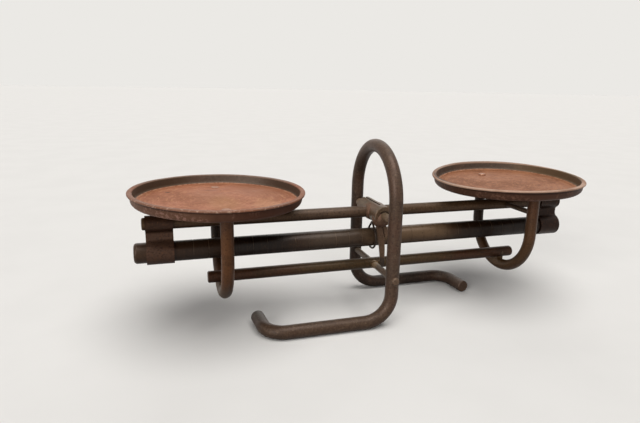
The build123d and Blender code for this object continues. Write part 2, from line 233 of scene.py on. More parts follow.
def mesh_object(name: str, build: BMesh) -> Object:
    """Turn a bmesh in metres into a smooth-shaded object.

    Args:
        name: Object's name.
        build: Finished bmesh, freed here.

    Returns:
        The object, linked into the scene.
    """
    mesh = bpy.data.meshes.new(name)
    bmesh.ops.recalc_face_normals(build, faces=build.faces)
    build.to_mesh(mesh)
    build.free()
    mesh.polygons.foreach_set("use_smooth", [True] * len(mesh.polygons))
    made = bpy.data.objects.new(name, mesh)
    bpy.context.scene.collection.objects.link(made)
    return made


def join_rings(build: BMesh, rings: list[Ring]) -> None:
    """Stretch a skin over rings, from each one to the next.

    Args:
        build: Mesh under construction.
        rings: Closed rings, all with the same number of vertices.
    """
    for first, second in zip(rings, rings[1:]):
        for i, corner in enumerate(first):
            j = (i + 1) % len(first)
            build.faces.new((corner, first[j], second[j], second[i]))


# ---- finishes


@dataclass(frozen=True)
class StainAndShade:
    """Cloudy egg-shaped patch of colour in the model's frame: a real mark, such as the rust round a weld,
    or painted shade or highlight.

    Its middle and its reach along X, Y and Z are in millimetres. Distance in reaches plus the
    clouds' noise says how full it is: none at the outer level, all at the inner one.
    """

    middle: Triple
    reach: Triple
    colour: str
    share: float = 0.85
    outer: float = 1.5
    inner: float = 0.9

    def laid(self, tree: Tree, place: Socket, clouds: Socket, colour: Socket) -> Socket:
        """Lay the patch over a colour.

        Args:
            tree: Node tree to add to.
            place: Coordinates in metres.
            clouds: Noise that makes the patch's edge uneven.
            colour: Colour below.

        Returns:
            The patched colour's socket.
        """
        scale = [per_metre(size) for size in self.reach]
        back = [-value / size for value, size in zip(self.middle, self.reach)]
        egg = add(tree, "Mapping", inputs={"Vector": place, "Scale": scale, "Location": back})
        away = add(tree, "VectorMath", {"operation": "LENGTH"}, {0: egg.outputs["Vector"]}).outputs["Value"]
        uneven = add(tree, "Math", {"operation": "ADD"}, {0: clouds, 1: away}).outputs["Value"]
        return paint(tree, colour, (self.colour, uneven, self.outer, self.inner, self.share))


@dataclass(frozen=True)
class RingMarks:
    """Brighter metal in the fine grooves turned round a tube that lies along X.

    The tube's axis height, its radius, the half length that carries marks and the depths at which
    the bright metal begins and is fullest are in millimetres. Clouds leave some marks dull.
    """

    axis_height: float
    tube_radius: float
    half_length: float
    colour: str
    share: float = 0.85
    depths: Pair = (0.05, 0.2)
    fade: float = 1.0
    clear: Pair = (0.42, 0.6)

    def laid(self, tree: Tree, place: Socket, clouds: Socket, colour: Socket) -> Socket:
        """Lay the marks over a colour.

        Args:
            tree: Node tree to add to.
            place: Coordinates in metres.
            clouds: Noise that leaves some marks dull.
            colour: Colour below.

        Returns:
            The marked colour's socket.
        """
        back = (0.0, 0.0, -self.axis_height * MM)
        across = add(tree, "Mapping", inputs={"Vector": place, "Scale": (0.0, 1.0, 1.0), "Location": back})
        off = {0: across.outputs["Vector"]}
        away = add(tree, "VectorMath", {"operation": "LENGTH"}, off).outputs["Value"]
        along = add(tree, "SeparateXYZ", inputs={"Vector": place}).outputs["X"]
        from_middle = add(tree, "Math", {"operation": "ABSOLUTE"}, {0: along}).outputs["Value"]
        cut: Socket | float = self.share
        for value, begin, full in (
            (away, *((self.tube_radius - depth) * MM for depth in self.depths)),
            (from_middle, self.half_length * MM, (self.half_length - self.fade) * MM),
            (clouds, *self.clear),
        ):
            rise = {"Value": value, "From Min": begin, "From Max": full}
            part = add(tree, "MapRange", SMOOTH, rise).outputs["Result"]
            cut = add(tree, "Math", {"operation": "MULTIPLY"}, {0: cut, 1: part}).outputs["Value"]
        mix = add(tree, "Mix", COLOURS, {"Factor": cut, FIRST: colour, SECOND: linear(self.colour)})
        return mix.outputs[MIXED]


@dataclass(frozen=True)
class PatinatedSteel:
    """Mild steel, hot rolled or drawn, left to brown and then rubbed smooth by hands.

    The eye sees a satin brown-grey skin: cloudy patches some centimetres wide, fine dark and pale
    specks and faint rubbed lines, with painted shade on faces that look down and in hollows where
    pieces meet. Sizes of patches, specks, rubs and pits, how high they stand and how far the
    painted shade creeps into hollows are in millimetres, and rubs stand rub_relief times as high as
    specks. Real rubbed lines are tenths of a millimetre wide, too fine to show, so they are drawn
    coarser.
    """

    name: str
    skin: str
    rust: str
    dark: str
    worn: str
    lay: Lay = Lay.EVEN
    patch: float = 22.0
    speck: float = 1.5
    rub: float = 1.4
    pit: float = 6.0
    rust_share: float = 0.6
    worn_share: float = 0.2
    dark_share: float = 0.35
    speck_share: float = 0.6
    pit_share: float = 0.6
    pit_levels: Pair = (0.13, 0.06)
    painted_shade_share: float = 0.55
    painted_shade_reach: float = 4.0
    metallic: float = 0.2
    specular: float = 0.25
    roughness: Pair = (0.52, 0.36)
    relief: float = 0.1
    rub_relief: float = 0.4
    stains: tuple[StainAndShade, ...] = ()
    marks: tuple[RingMarks, ...] = ()

    def material(self) -> Material:
        """Build the finish.

        Returns:
            The material.
        """
        material, tree, shader = new_material(self.name)
        place = add(tree, "TexCoord").outputs["Object"]
        lay = [per_metre(self.rub * share) for share in self.lay.value]
        stretched = add(tree, "Mapping", inputs={"Vector": place, "Scale": lay}).outputs["Vector"]
        patches, specks, rubs = (
            add(
                tree,
                "TexNoise",
                inputs={"Vector": where, "Scale": scale, "Detail": detail, "Roughness": roughness},
            ).outputs["Fac"]
            for where, scale, detail, roughness in (
                (place, per_metre(self.patch), 5.0, 0.6),
                (place, per_metre(self.speck), 3.0, 0.6),
                (stretched, 1.0, 3.0, 0.5),
            )
        )
        cells = {"Vector": place, "Scale": per_metre(self.pit)}
        pits = add(tree, "TexVoronoi", inputs=cells).outputs["Distance"]

        colour = paint(tree, self.skin, (self.rust, patches, 0.38, 0.68, self.rust_share))
        for stain_or_shade in self.stains:
            colour = stain_or_shade.laid(tree, place, patches, colour)
        colour = paint(
            tree,
            colour,
            (self.dark, patches, 0.46, 0.32, self.dark_share),
            (self.worn, rubs, 0.5, 0.72, self.worn_share),
            (self.dark, specks, 0.5, 0.3, self.speck_share),
            (self.worn, specks, 0.56, 0.72, self.speck_share),
            (self.dark, pits, *self.pit_levels, self.pit_share),
        )
        for mark in self.marks:
            colour = mark.laid(tree, place, patches, colour)
        # Painted shade: darker on faces that look down, and in hollows where parts hide each other from the
        # sky.
        normal = add(tree, "NewGeometry").outputs["Normal"]
        upward = add(tree, "SeparateXYZ", inputs={"Vector": normal}).outputs["Z"]
        reach = {"Distance": self.painted_shade_reach * MM}
        open_sky = add(tree, "AmbientOcclusion", SKY_RAYS, reach).outputs["AO"]
        colour = paint(
            tree,
            colour,
            (self.dark, upward, 0.1, -0.9, self.painted_shade_share),
            (self.dark, open_sky, 0.7, 0.2, self.painted_shade_share),
        )
        begin, full = self.pit_levels
        hollow = {"Value": pits, "From Min": begin, "From Max": full, "To Max": self.pit_share}
        pitting = add(tree, "MapRange", SMOOTH, hollow).outputs["Result"]
        raised = {0: rubs, 1: self.rub_relief, 2: specks}
        height = add(tree, "Math", {"operation": "MULTIPLY_ADD"}, raised).outputs["Value"]
        height = add(tree, "Math", {"operation": "SUBTRACT"}, {0: height, 1: pitting}).outputs["Value"]
        wire_surface(tree, shader, self, colour, patches, height)
        return material


@dataclass(frozen=True)
class TarnishedBrass:
    """Turned brass, dulled: a warm yellow-brown edge with brown spots some millimetres wide."""

    name: str = "brass_turned_tarnished"
    bright: str = "#8c7458"
    dull: str = "#5f4a36"
    spot: float = 2.5
    spot_levels: Pair = (0.4, 0.65)
    spot_share: float = 0.9
    metallic: float = 0.85
    roughness: Pair = (0.3, 0.55)
    relief: float = 0.08
    bump_share: float = 0.4

    def material(self) -> Material:
        """Build the finish.

        Returns:
            The material.
        """
        material, tree, shader = new_material(self.name)
        place = add(tree, "TexCoord").outputs["Object"]
        cells = {"Vector": place, "Scale": per_metre(self.spot), "Detail": 4.0}
        spots = add(tree, "TexNoise", inputs=cells).outputs["Fac"]
        begin, full = self.spot_levels
        rise = {"Value": spots, "From Min": begin, "From Max": full, "To Max": self.spot_share}
        dulled = add(tree, "MapRange", SMOOTH, rise).outputs["Result"]
        pair = {"Factor": dulled, FIRST: linear(self.bright), SECOND: linear(self.dull)}
        mix = add(tree, "Mix", COLOURS, pair)
        tree.links.new(mix.outputs[MIXED], shader.inputs["Base Color"])
        shader.inputs["Metallic"].default_value = self.metallic
        smooth, rough = self.roughness
        gloss = add(tree, "MapRange", inputs={"Value": dulled, "To Min": smooth, "To Max": rough})
        tree.links.new(gloss.outputs["Result"], shader.inputs["Roughness"])
        relief = {"Height": spots, "Strength": self.bump_share, "Distance": self.relief * MM}
        bump = add(tree, "Bump", inputs=relief)
        tree.links.new(bump.outputs["Normal"], shader.inputs["Normal"])
        return material


@dataclass(frozen=True)
class PanSkin:
    """Pressed steel sheet with a coat of fine rust, waxed.

    The floor is a dry reddish brown with cloudy rubbed arcs and dark flecks, and chipped pale where
    it turns up. The inside of the wall is darker and greyer, and the rim is rubbed pale in front
    and duller at the back. The outside is dark and scaly, with a painted shadow under the lip, and
    painted shade darkens the crease and the floor round the rivets.

    Sizes of clouds, flecks and grooves, and how far painted shade creeps into hollows, are in
    millimetres. Clouds stand cloud_relief times as high as flecks, and arcs change about sweep times
    in a radian. Real grooves are tenths of a millimetre wide, too fine to show, so they are drawn
    coarser.

    Each pair below the reach of the painted shade says where something begins and where it is
    fullest: crease and wall from the floor's end outwards, the rim from the wall outwards and by
    height, and the lip's painted shadow by height, all in millimetres; the rim's far side as shares
    of its radius; and both facings as shares of the normal.
    """

    name: str = "steel_sheet_pressed_rusted_waxed"
    floor: str = "#a26649"
    floor_dark: str = "#865237"
    floor_pale: str = "#b4805d"
    fleck_dark: str = "#7c4c34"
    wall: str = "#5c4f45"
    wall_rust: str = "#644c3f"
    wall_rubbed: str = "#7c6a5c"
    wall_pitted: str = "#41342b"
    rim: str = "#7b5746"
    rim_worn: str = "#bc9f8c"
    rim_far: str = "#6b594d"
    outside: str = "#664939"
    scale_pale: str = "#947164"
    edge_pale: str = "#bd9277"
    painted_lip_shadow: str = "#2a160c"
    painted_hollow_shade: str = "#4a2c1f"
    metallic: float = 0.25
    specular: float = 0.2
    roughness: Pair = (0.5, 0.68)
    relief: float = 0.15
    cloud_relief: float = 2.0
    cloud: float = 38.0
    fleck: float = 2.4
    groove: float = 2.2
    sweep: float = 4.5
    painted_shade_reach: float = 3.0
    crease_start: Pair = (-0.8, 0.4)
    wall_start: Pair = (1.0, 1.9)
    rim_start: Pair = (0.0, 0.4)
    rim_heights: Pair = (-1.2, -0.6)
    lip_shade: Pair = (-3.8, -2.2)
    far_side: Pair = (0.1, 0.6)
    facing_out: Pair = (0.1, 0.3)
    facing_down: Pair = (-0.2, -0.5)
    stains: tuple[StainAndShade, ...] = ()
    wall_stains: tuple[StainAndShade, ...] = ()
    outside_stains: tuple[StainAndShade, ...] = ()

    def material(self, pan: "Pan") -> Material:
        """Build the finish in a pan's own coordinates, with the rim's middle as origin.

        Args:
            pan: Pan that wears it.

        Returns:
            The material.
        """
        material, tree, shader = new_material(f"{self.name}_{pan.side.word}")
        place = add(tree, "TexCoord").outputs["Object"]
        split = add(tree, "SeparateXYZ", inputs={"Vector": place}).outputs
        flat = add(tree, "CombineXYZ", inputs={"X": split["X"], "Y": split["Y"]}).outputs["Vector"]
        radius = add(tree, "VectorMath", {"operation": "LENGTH"}, {0: flat}).outputs["Value"]
        clouds, flecks = (
            add(
                tree,
                "TexNoise",
                inputs={
                    "Vector": place,
                    "Scale": per_metre(size),
                    "Detail": detail,
                    "Roughness": roughness,
                    "Distortion": distortion,
                },
            ).outputs["Fac"]
            for size, detail, roughness, distortion in (
                (self.cloud, 5.0, 0.62, 0.8),
                (self.fleck, 3.0, 0.7, 0.0),
            )
        )
        coats = self.coats(tree, pan, place, clouds, flecks, self.arcs(tree, flat, radius))
        parts = self.parts(tree, pan, flat, radius, split["Z"])
        colour = coats["floor"]
        for name, on_part in parts.items():
            mix = add(tree, "Mix", COLOURS, {"Factor": on_part, FIRST: colour, SECOND: coats[name]})
            colour = mix.outputs[MIXED]
        # Painted shade in the crease, round the rivets and wherever other parts lie close over the pan.
        reach = {"Distance": self.painted_shade_reach * MM}
        open_sky = add(tree, "AmbientOcclusion", SKY_RAYS, reach).outputs["AO"]
        colour = paint(tree, colour, (self.painted_hollow_shade, open_sky, 0.75, 0.3, 0.6))
        raised = {0: clouds, 1: self.cloud_relief, 2: flecks}
        height = add(tree, "Math", {"operation": "MULTIPLY_ADD"}, raised).outputs["Value"]
        wire_surface(tree, shader, self, colour, clouds, height)
        return material

    def coats(
        self, tree: Tree, pan: "Pan", place: Socket, clouds: Socket, flecks: Socket, arcs: Socket
    ) -> dict[str, Socket]:
        """Colour of each part of a pan.

        Args:
            tree: Node tree to add to.
            pan: Pan whose sizes count.
            place: Coordinates in metres.
            clouds: Coarse noise.
            flecks: Fine noise.
            arcs: Noise drawn out round the pan's middle.

        Returns:
            The colours' sockets, by the names floor, crease, wall, outside and rim.
        """
        split = add(tree, "SeparateXYZ", inputs={"Vector": place}).outputs
        floor = paint(
            tree,
            self.floor,
            (self.floor_dark, clouds, 0.42, 0.62, 0.8),
            (self.floor_pale, arcs, 0.5, 0.68, 0.7),
            (self.floor_dark, arcs, 0.48, 0.3, 0.75),
            (self.fleck_dark, flecks, 0.46, 0.3, 0.85),
            (self.floor_pale, flecks, 0.56, 0.7, 0.7),
        )
        for stain_or_shade in self.stains:
            floor = stain_or_shade.laid(tree, place, clouds, floor)
        chipped = paint(tree, floor, (self.edge_pale, flecks, 0.42, 0.58, 0.6))
        wall = paint(
            tree,
            self.wall,
            (self.wall_rust, clouds, 0.45, 0.7, 0.7),
            (self.wall_rubbed, flecks, 0.54, 0.7, 0.35),
            (self.wall_pitted, flecks, 0.46, 0.3, 0.5),
        )
        for stain_or_shade in self.wall_stains:
            wall = stain_or_shade.laid(tree, place, clouds, wall)
        scaly = paint(tree, self.outside, (self.scale_pale, flecks, 0.48, 0.58, 1.0))
        outside = paint(tree, self.outside, (scaly, clouds, 0.41, 0.53, 1.0))
        for stain_or_shade in self.outside_stains:
            outside = stain_or_shade.laid(tree, place, clouds, outside)
        # Painted shadow on the outside, darkest just under the lip.
        lip = (height * MM for height in self.lip_shade)
        outside = paint(tree, outside, (self.painted_lip_shadow, split["Z"], *lip, 0.85))
        far = (share * pan.rim_radius * MM for share in self.far_side)
        rubbed = paint(
            tree,
            self.rim,
            (self.rim_worn, flecks, 0.52, 0.66, 0.6),
            (self.floor_dark, clouds, 0.45, 0.6, 0.5),
            (self.rim_far, split["Y"], *far, 0.75),
        )
        return {"floor": floor, "crease": chipped, "wall": wall, "outside": outside, "rim": rubbed}

    def arcs(self, tree: Tree, flat: Socket, radius: Socket) -> Socket:
        """Noise drawn out into arcs round the pan's middle, as rubbing and turning leave them.

        Args:
            tree: Node tree to add to.
            flat: Coordinates in metres, without their height.
            radius: Distance from the middle in metres.

        Returns:
            The noise's socket.
        """
        spoke = add(tree, "VectorMath", {"operation": "NORMALIZE"}, {0: flat}).outputs["Vector"]
        outward = add(tree, "CombineXYZ", inputs={"Z": radius}).outputs["Vector"]
        close = [per_metre(self.groove)] * 3
        grooves = add(tree, "Mapping", inputs={"Vector": outward, "Scale": close}).outputs["Vector"]
        swept = {0: spoke, 1: (self.sweep,) * 3, 2: grooves}
        where = add(tree, "VectorMath", {"operation": "MULTIPLY_ADD"}, swept).outputs["Vector"]
        cells = {"Vector": where, "Scale": 1.0, "Detail": 3.0, "Roughness": 0.7}
        return add(tree, "TexNoise", inputs=cells).outputs["Fac"]

    def parts(
        self, tree: Tree, pan: "Pan", flat: Socket, radius: Socket, height: Socket
    ) -> dict[str, Socket]:
        """Tell the parts of a pan apart, each by a socket that is 1 on it and 0 beyond it.

        Args:
            tree: Node tree to add to.
            pan: Pan whose sizes count.
            flat: Coordinates in metres, without their height.
            radius: Distance from the middle in metres.
            height: Height over the rim's middle in metres.

        Returns:
            The sockets, by the names crease, wall, outside and rim, in the order of painting.
        """
        normal = add(tree, "NewGeometry").outputs["Normal"]
        turn = {"vector_type": "NORMAL", "convert_from": "WORLD", "convert_to": "OBJECT"}
        own_normal = add(tree, "VectorTransform", turn, {"Vector": normal}).outputs["Vector"]
        pair = {0: own_normal, 1: flat}
        outward = add(tree, "VectorMath", {"operation": "DOT_PRODUCT"}, pair).outputs["Value"]
        upward = add(tree, "SeparateXYZ", inputs={"Vector": own_normal}).outputs["Z"]
        sizes = (pan.floor_radius, pan.wall_top_radius, pan.rim_radius)
        floor_end, wall_end, rim = (size * MM for size in sizes)
        crease, wall, facing_out, facing_down, high, beyond_wall = (
            add(
                tree,
                "MapRange",
                SMOOTH,
                {"Value": value, "From Min": start + begin * unit, "From Max": start + full * unit},
            ).outputs["Result"]
            for value, start, unit, (begin, full) in (
                (radius, floor_end, MM, self.crease_start),
                (radius, floor_end, MM, self.wall_start),
                (outward, 0.0, rim, self.facing_out),
                (upward, 0.0, 1.0, self.facing_down),
                (height, 0.0, MM, self.rim_heights),
                (radius, wall_end, MM, self.rim_start),
            )
        )
        outside, top, not_below = (
            add(tree, "Math", {"operation": operation}, {0: first, 1: second}).outputs["Value"]
            for operation, first, second in (
                ("MAXIMUM", facing_out, facing_down),
                ("MAXIMUM", high, beyond_wall),
                ("SUBTRACT", 1.0, facing_down),
            )
        )
        on_rim = add(tree, "Math", {"operation": "MULTIPLY"}, {0: top, 1: not_below}).outputs["Value"]
        return {"crease": crease, "wall": wall, "outside": outside, "rim": on_rim}


@dataclass(frozen=True)
class StudioPaper:
    """Matt pale paper that covers the floor, with a barely visible tooth some centimetres wide."""

    name: str = "paper_matt_pale"
    sheet: str = "#e4e3e1"
    shade: str = "#e2e1df"
    bounce: str = "#705440"
    tooth: float = 90.0
    roughness: float = 0.9
    specular: float = 0.2

    def material(self) -> Material:
        """Build the finish, which throws only a darker, warmer light back on the balance.

        Returns:
            The material.
        """
        material, tree, shader = new_material(self.name)
        place = add(tree, "TexCoord").outputs["Object"]
        cells = {"Vector": place, "Scale": per_metre(self.tooth), "Detail": 3.0, "Roughness": 0.5}
        clouds = add(tree, "TexNoise", inputs=cells).outputs["Fac"]
        colour = paint(tree, self.sheet, (self.shade, clouds, 0.35, 0.65, 1.0))
        pair = {"Factor": seen_by_eye(tree), FIRST: linear(self.bounce), SECOND: colour}
        mix = add(tree, "Mix", COLOURS, pair)
        tree.links.new(mix.outputs[MIXED], shader.inputs["Base Color"])
        shader.inputs["Roughness"].default_value = self.roughness
        shader.inputs["Specular IOR Level"].default_value = self.specular
        return material


# Hot-rolled bar, browned: a satin dark brown skin, paler on the front foot and nearly black at the left
# front toe's end, with the back leg painted nearly black as shade.
STAND_STEEL = PatinatedSteel(
    name="steel_bar_hot_rolled_browned",
    skin="#514034",
    rust="#543a2d",
    dark="#2e211a",
    worn="#705e4e",
    stains=(
        # Painted shade: the back leg nearly black.
        StainAndShade((40.0, 54.0, 50.0), (120.0, 26.0, 125.0), "#0d0704", 0.92),
        StainAndShade((-119.0, -18.0, 8.0), (30.0, 30.0, 26.0), "#1b1309", 0.95),
        StainAndShade((-75.0, -48.0, 4.0), (95.0, 60.0, 40.0), "#473528", 0.8),
    ),
)
# Drawn rod, browned: a little greyer, rubbed bright by the bush and on the peened button.
ROD_STEEL = PatinatedSteel(
    name="steel_rod_drawn_browned",
    skin="#574b3e",
    rust="#5d4738",
    dark="#33281f",
    worn="#746351",
    lay=Lay.ALONG_Y,
    stains=(
        StainAndShade((0.0, -9.0, 44.5), (9.0, 9.0, 9.0), "#8d765b", 0.8),
        StainAndShade((0.0, -60.0, 44.5), (16.0, 16.0, 16.0), "#6c5646", 0.75),
    ),
)
# Drawn bar, browned: warm dark brown, with a greyer painted sheen on the left half beside the hub.
BEAM_STEEL = PatinatedSteel(
    name="steel_bar_drawn_browned",
    skin="#493623",
    rust="#503623",
    dark="#291c10",
    worn="#6d573f",
    lay=Lay.ALONG_X,
    # Painted sheen: greyer on the left half beside the hub.
    stains=(StainAndShade((-38.0, 0.0, 95.8), (55.0, 20.0, 20.0), "#5c4a3e", 0.6),),
)
# Drawn bar, blackened and then browned: the darkest bar, dull olive brown in the middle.
STAY_STEEL = PatinatedSteel(
    name="steel_bar_drawn_blackened",
    skin="#3c2415",
    rust="#462917",
    dark="#201106",
    worn="#5f3f29",
    lay=Lay.ALONG_X,
    stains=(StainAndShade((-5.0, 0.0, 44.5), (130.0, 24.0, 24.0), "#463721", 0.85),),
)
# Filed plate, browned: faint file lines down the blade, and its tip painted nearly black as the shadow
# where it meets the rod.
POINTER_STEEL = PatinatedSteel(
    name="steel_plate_filed_browned",
    skin="#5d4939",
    rust="#684e3c",
    dark="#31241c",
    worn="#74604f",
    lay=Lay.ALONG_Z,
    # Painted shadow: the tip nearly black where it nears the rod.
    stains=(StainAndShade((0.0, -22.5, 50.0), (12.0, 10.0, 10.0), "#2b2622"),),
)
# Turned sleeve, greyed: the palest bar, with rust beside the welds.
HUB_STEEL = PatinatedSteel(
    name="steel_sleeve_turned_greyed",
    skin="#625343",
    rust="#6b4a35",
    dark="#34281c",
    worn="#807057",
    lay=Lay.ALONG_Y,
    stains=(
        StainAndShade((-7.0, -6.0, 100.0), (8.0, 8.0, 8.0), "#705443"),
        StainAndShade((-3.0, -24.0, 91.0), (8.0, 8.0, 8.0), "#6b4b3c"),
    ),
)
# Turned shaft, browned: a pale, worn stub in front of the hub.
SHAFT_STEEL = PatinatedSteel(
    name="steel_shaft_turned_browned",
    skin="#776853",
    rust="#7a5643",
    dark="#382b22",
    worn="#90826b",
    lay=Lay.ALONG_Y,
)
# Weld bead, rusted: lumpy and reddish, with a coarser and duller skin than the bars.
WELD_STEEL = PatinatedSteel(
    name="steel_weld_bead_rusted",
    skin="#675141",
    rust="#785341",
    dark="#37261e",
    worn="#816855",
    patch=6.0,
    speck=0.8,
    metallic=0.3,
    roughness=(0.72, 0.5),
    relief=0.25,
)
# Drawn tube, blackened: almost black, glossier than the bars, paler at the left end, greyer left of the
# middle and tan right of it, with painted shadow darkening the lengths under the pans.
TUBE_STEEL = PatinatedSteel(
    name="steel_tube_drawn_blackened",
    skin="#2f1e12",
    rust="#372112",
    dark="#150904",
    worn="#5c4028",
    lay=Lay.ROUND_X,
    rub=2.4,
    worn_share=0.06,
    speck_share=0.25,
    specular=0.26,
    roughness=(0.42, 0.32),
    stains=(
        StainAndShade((-216.0, 0.0, 71.0), (22.0, 34.0, 34.0), "#433021", 0.9),
        StainAndShade((-30.0, -8.0, 71.0), (55.0, 30.0, 30.0), "#4e4237", 0.6),
        # Painted shadow under the left pan.
        StainAndShade((-130.0, 0.0, 71.0), (75.0, 30.0, 30.0), "#2b1e15", 0.7),
        StainAndShade((-112.0, 0.0, 71.0), (40.0, 30.0, 30.0), "#0e0502", 0.8),
        StainAndShade((34.0, 0.0, 71.0), (66.0, 40.0, 40.0), "#66513c", 0.95),
        # Painted shadow under the right pan.
        StainAndShade((140.0, 0.0, 71.0), (75.0, 40.0, 40.0), "#0c0402", 0.85),
    ),
    marks=(RingMarks(70.8, 8.7, 183.0, "#8a7560", 0.42),),
)
# Bent strip, rusted: flat red-brown, paler low on the left, with painted shadow under the pans darkening
# the left one's top and the right one nearly to black.
STRAP_STEEL = PatinatedSteel(
    name="steel_strip_bent_rusted",
    skin="#3f2615",
    rust="#4d2b18",
    dark="#211007",
    worn="#634128",
    metallic=0.35,
    stains=(
        StainAndShade((-197.0, 0.0, 70.0), (40.0, 50.0, 38.0), "#533d31", 0.9),
        # Painted shadow under the pans: over the left strap's top, and the right strap nearly black.
        StainAndShade((-197.0, 0.0, 102.0), (44.0, 60.0, 16.0), "#2c190d", 0.6),
        StainAndShade((200.0, 0.0, 80.0), (60.0, 60.0, 80.0), "#1d0a02", 0.92),
    ),
)
# Bent bar, browned: warm brown front legs with lines along them, and far legs painted nearly black as the
# shade under the pans.
HANGER_STEEL = PatinatedSteel(
    name="steel_bar_bent_browned",
    skin="#4f3320",
    rust="#58361f",
    dark="#2a190c",
    worn="#6c4d33",
    lay=Lay.ALONG_Z,
    stains=(
        # Painted shade: the right hanger's far leg nearly black.
        StainAndShade((142.8, 44.0, 84.0), (34.0, 30.0, 72.0), "#140903", 0.9),
        StainAndShade((142.8, -16.0, 46.0), (60.0, 66.0, 60.0), "#4c381f", 0.7),
        # Painted shade: the left hanger's far leg nearly black.
        StainAndShade((-142.8, 44.0, 88.0), (34.0, 30.0, 70.0), "#0c0402", 0.94),
        StainAndShade((-142.8, -42.8, 62.0), (34.0, 24.0, 50.0), "#694222", 0.7),
        StainAndShade((-142.8, -30.0, 28.0), (34.0, 50.0, 30.0), "#46351a", 0.7),
    ),
)
# Drawn pins, browned: plain brown ends that hardly differ from what they hold.
PIN_STEEL = PatinatedSteel(
    name="steel_pin_drawn_browned",
    skin="#534335",
    rust="#5b4032",
    dark="#2d221b",
    worn="#72604f",
    lay=Lay.ALONG_Y,
)
# Drawn wire, blackened: a thin, nearly black line with a soft gleam.
WIRE_STEEL = PatinatedSteel(
    name="steel_wire_drawn_blackened",
    skin="#33271f",
    rust="#3d2c20",
    dark="#0f0b08",
    worn="#5a4e44",
    patch=8.0,
    roughness=(0.5, 0.35),
)
# Peened rivet heads, rusted: as red as the pan's floor, and rubbed pale on top.
RIVET_STEEL = PatinatedSteel(
    name="steel_rivet_peened_rusted",
    skin="#9a6e58",
    rust="#96654d",
    dark="#5a3d31",
    worn="#c09a80",
    patch=5.0,
    speck=0.7,
    metallic=0.3,
    worn_share=0.6,
)
# Pressed sheet with fine rust: the left floor is the redder and paler one, with two dark nicks near
# its far edge, and the right pan is browner, its rim rubbed palest.
PAN_SKINS = {
    Side.LEFT: PanSkin(
        stains=(
            StainAndShade((-40.7, 29.9, -7.8), (3.4, 2.4, 6.0), "#3a2721"),
            StainAndShade((-2.2, 35.0, -7.8), (8.5, 2.2, 6.0), "#6e4433", 0.8),
            StainAndShade((-8.0, 8.0, -7.8), (24.0, 34.0, 9.0), "#8a5a40", 0.4),
            StainAndShade((56.0, 36.0, -7.8), (50.0, 50.0, 9.0), "#86563d", 0.6),
            StainAndShade((3.0, -16.0, -7.8), (18.0, 34.0, 9.0), "#b08258", 0.3),
            StainAndShade((38.0, -24.0, -7.8), (16.0, 30.0, 9.0), "#b08258", 0.3),
        ),
        wall_stains=(
            # Painted shade on the inside wall, at the left back and on the right.
            StainAndShade((-66.0, 40.0, -4.0), (75.0, 70.0, 40.0), "#513f30", 0.9),
            StainAndShade((76.0, 16.0, -4.0), (52.0, 56.0, 40.0), "#463528", 0.9),
        ),
        # Painted shade on the outside, towards the right front.
        outside_stains=(StainAndShade((54.0, -48.0, -6.0), (84.0, 66.0, 40.0), "#4a2c1e", 0.96),),
    ),
    Side.RIGHT: PanSkin(
        floor="#905d3f",
        floor_dark="#72462d",
        floor_pale="#a57350",
        fleck_dark="#5f3923",
        wall="#50443b",
        rim="#aa8c79",
        outside="#4a3124",
        scale_pale="#6f5142",
        rim_far="#826a5a",
        wall_stains=(StainAndShade((84.0, -4.0, -4.0), (84.0, 80.0, 40.0), "#645039", 0.75),),
        # Painted shade on the outside, towards the right front.
        outside_stains=(StainAndShade((62.0, -40.0, -6.0), (70.0, 60.0, 40.0), "#392015", 0.9),),
    ),
}


# ---- studio


@dataclass(frozen=True)
class StillCamera:
    """Camera at eye level with a bench, looking down a little.

    Its heading is measured from the back towards the right; heading, dip and roll are in degrees,
    and the nearest and farthest distance that it sees are in metres.
    """

    place: Triple = (-188.85, -437.71, 210.65)
    heading: float = 17.163
    dip: float = 13.804
    roll: float = 0.988
    lens: float = 29.181
    film: float = 36.0
    nearest: float = 0.01
    farthest: float = 100.0

    def build(self) -> None:
        """Make the camera and put it in charge."""
        heading, dip, roll = (math.radians(a) for a in (self.heading, self.dip, self.roll))
        ahead = Vector(
            (math.sin(heading) * math.cos(dip), math.cos(heading) * math.cos(dip), -math.sin(dip))
        )
        level = Vector((math.cos(heading), -math.sin(heading), 0.0))
        above = level.cross(ahead)
        right = math.cos(roll) * level + math.sin(roll) * above
        up = -math.sin(roll) * level + math.cos(roll) * above
        data = bpy.data.cameras.new("still_camera")
        data.sensor_fit = "HORIZONTAL"
        data.sensor_width = self.film
        data.lens = self.lens
        data.clip_start = self.nearest
        data.clip_end = self.farthest
        camera = bpy.data.objects.new("still_camera", data)
        turn = Matrix((right, up, -ahead)).transposed().to_4x4()
        camera.matrix_world = Matrix.Translation(Vector(self.place) * MM) @ turn
        bpy.context.scene.collection.objects.link(camera)
        bpy.context.scene.camera = camera


@dataclass(frozen=True)
class SoftSun:
    """Very wide, even lamp, like a big window.

    It shines from the direction toward, and looks width degrees wide from the balance.
    """

    name: str
    toward: Triple
    width: float
    power: float
    colour: str = "#fffdfa"

    def build(self) -> None:
        """Hang the lamp."""
        data = bpy.data.lights.new(self.name, "SUN")
        data.angle = math.radians(self.width)
        data.energy = self.power
        data.color = linear(self.colour)[:3]
        lamp = bpy.data.objects.new(self.name, data)
        lamp.rotation_euler = (-Vector(self.toward)).to_track_quat("-Z", "Y").to_euler()
        lamp.location = self.toward
        bpy.context.scene.collection.objects.link(lamp)


def seen_by_eye(tree: Tree) -> Socket:
    """Tell what eye, gloss and glass see from the light that things throw on each other.

    Args:
        tree: Node tree to add to.

    Returns:
        Socket that is 1 for camera, glossy and transmission rays, else 0.
    """
    path = add(tree, "LightPath").outputs
    seen = path["Is Camera Ray"]
    for other in ("Is Glossy Ray", "Is Transmission Ray"):
        seen = add(tree, "Math", {"operation": "MAXIMUM"}, {0: seen, 1: path[other]}).outputs["Value"]
    return seen


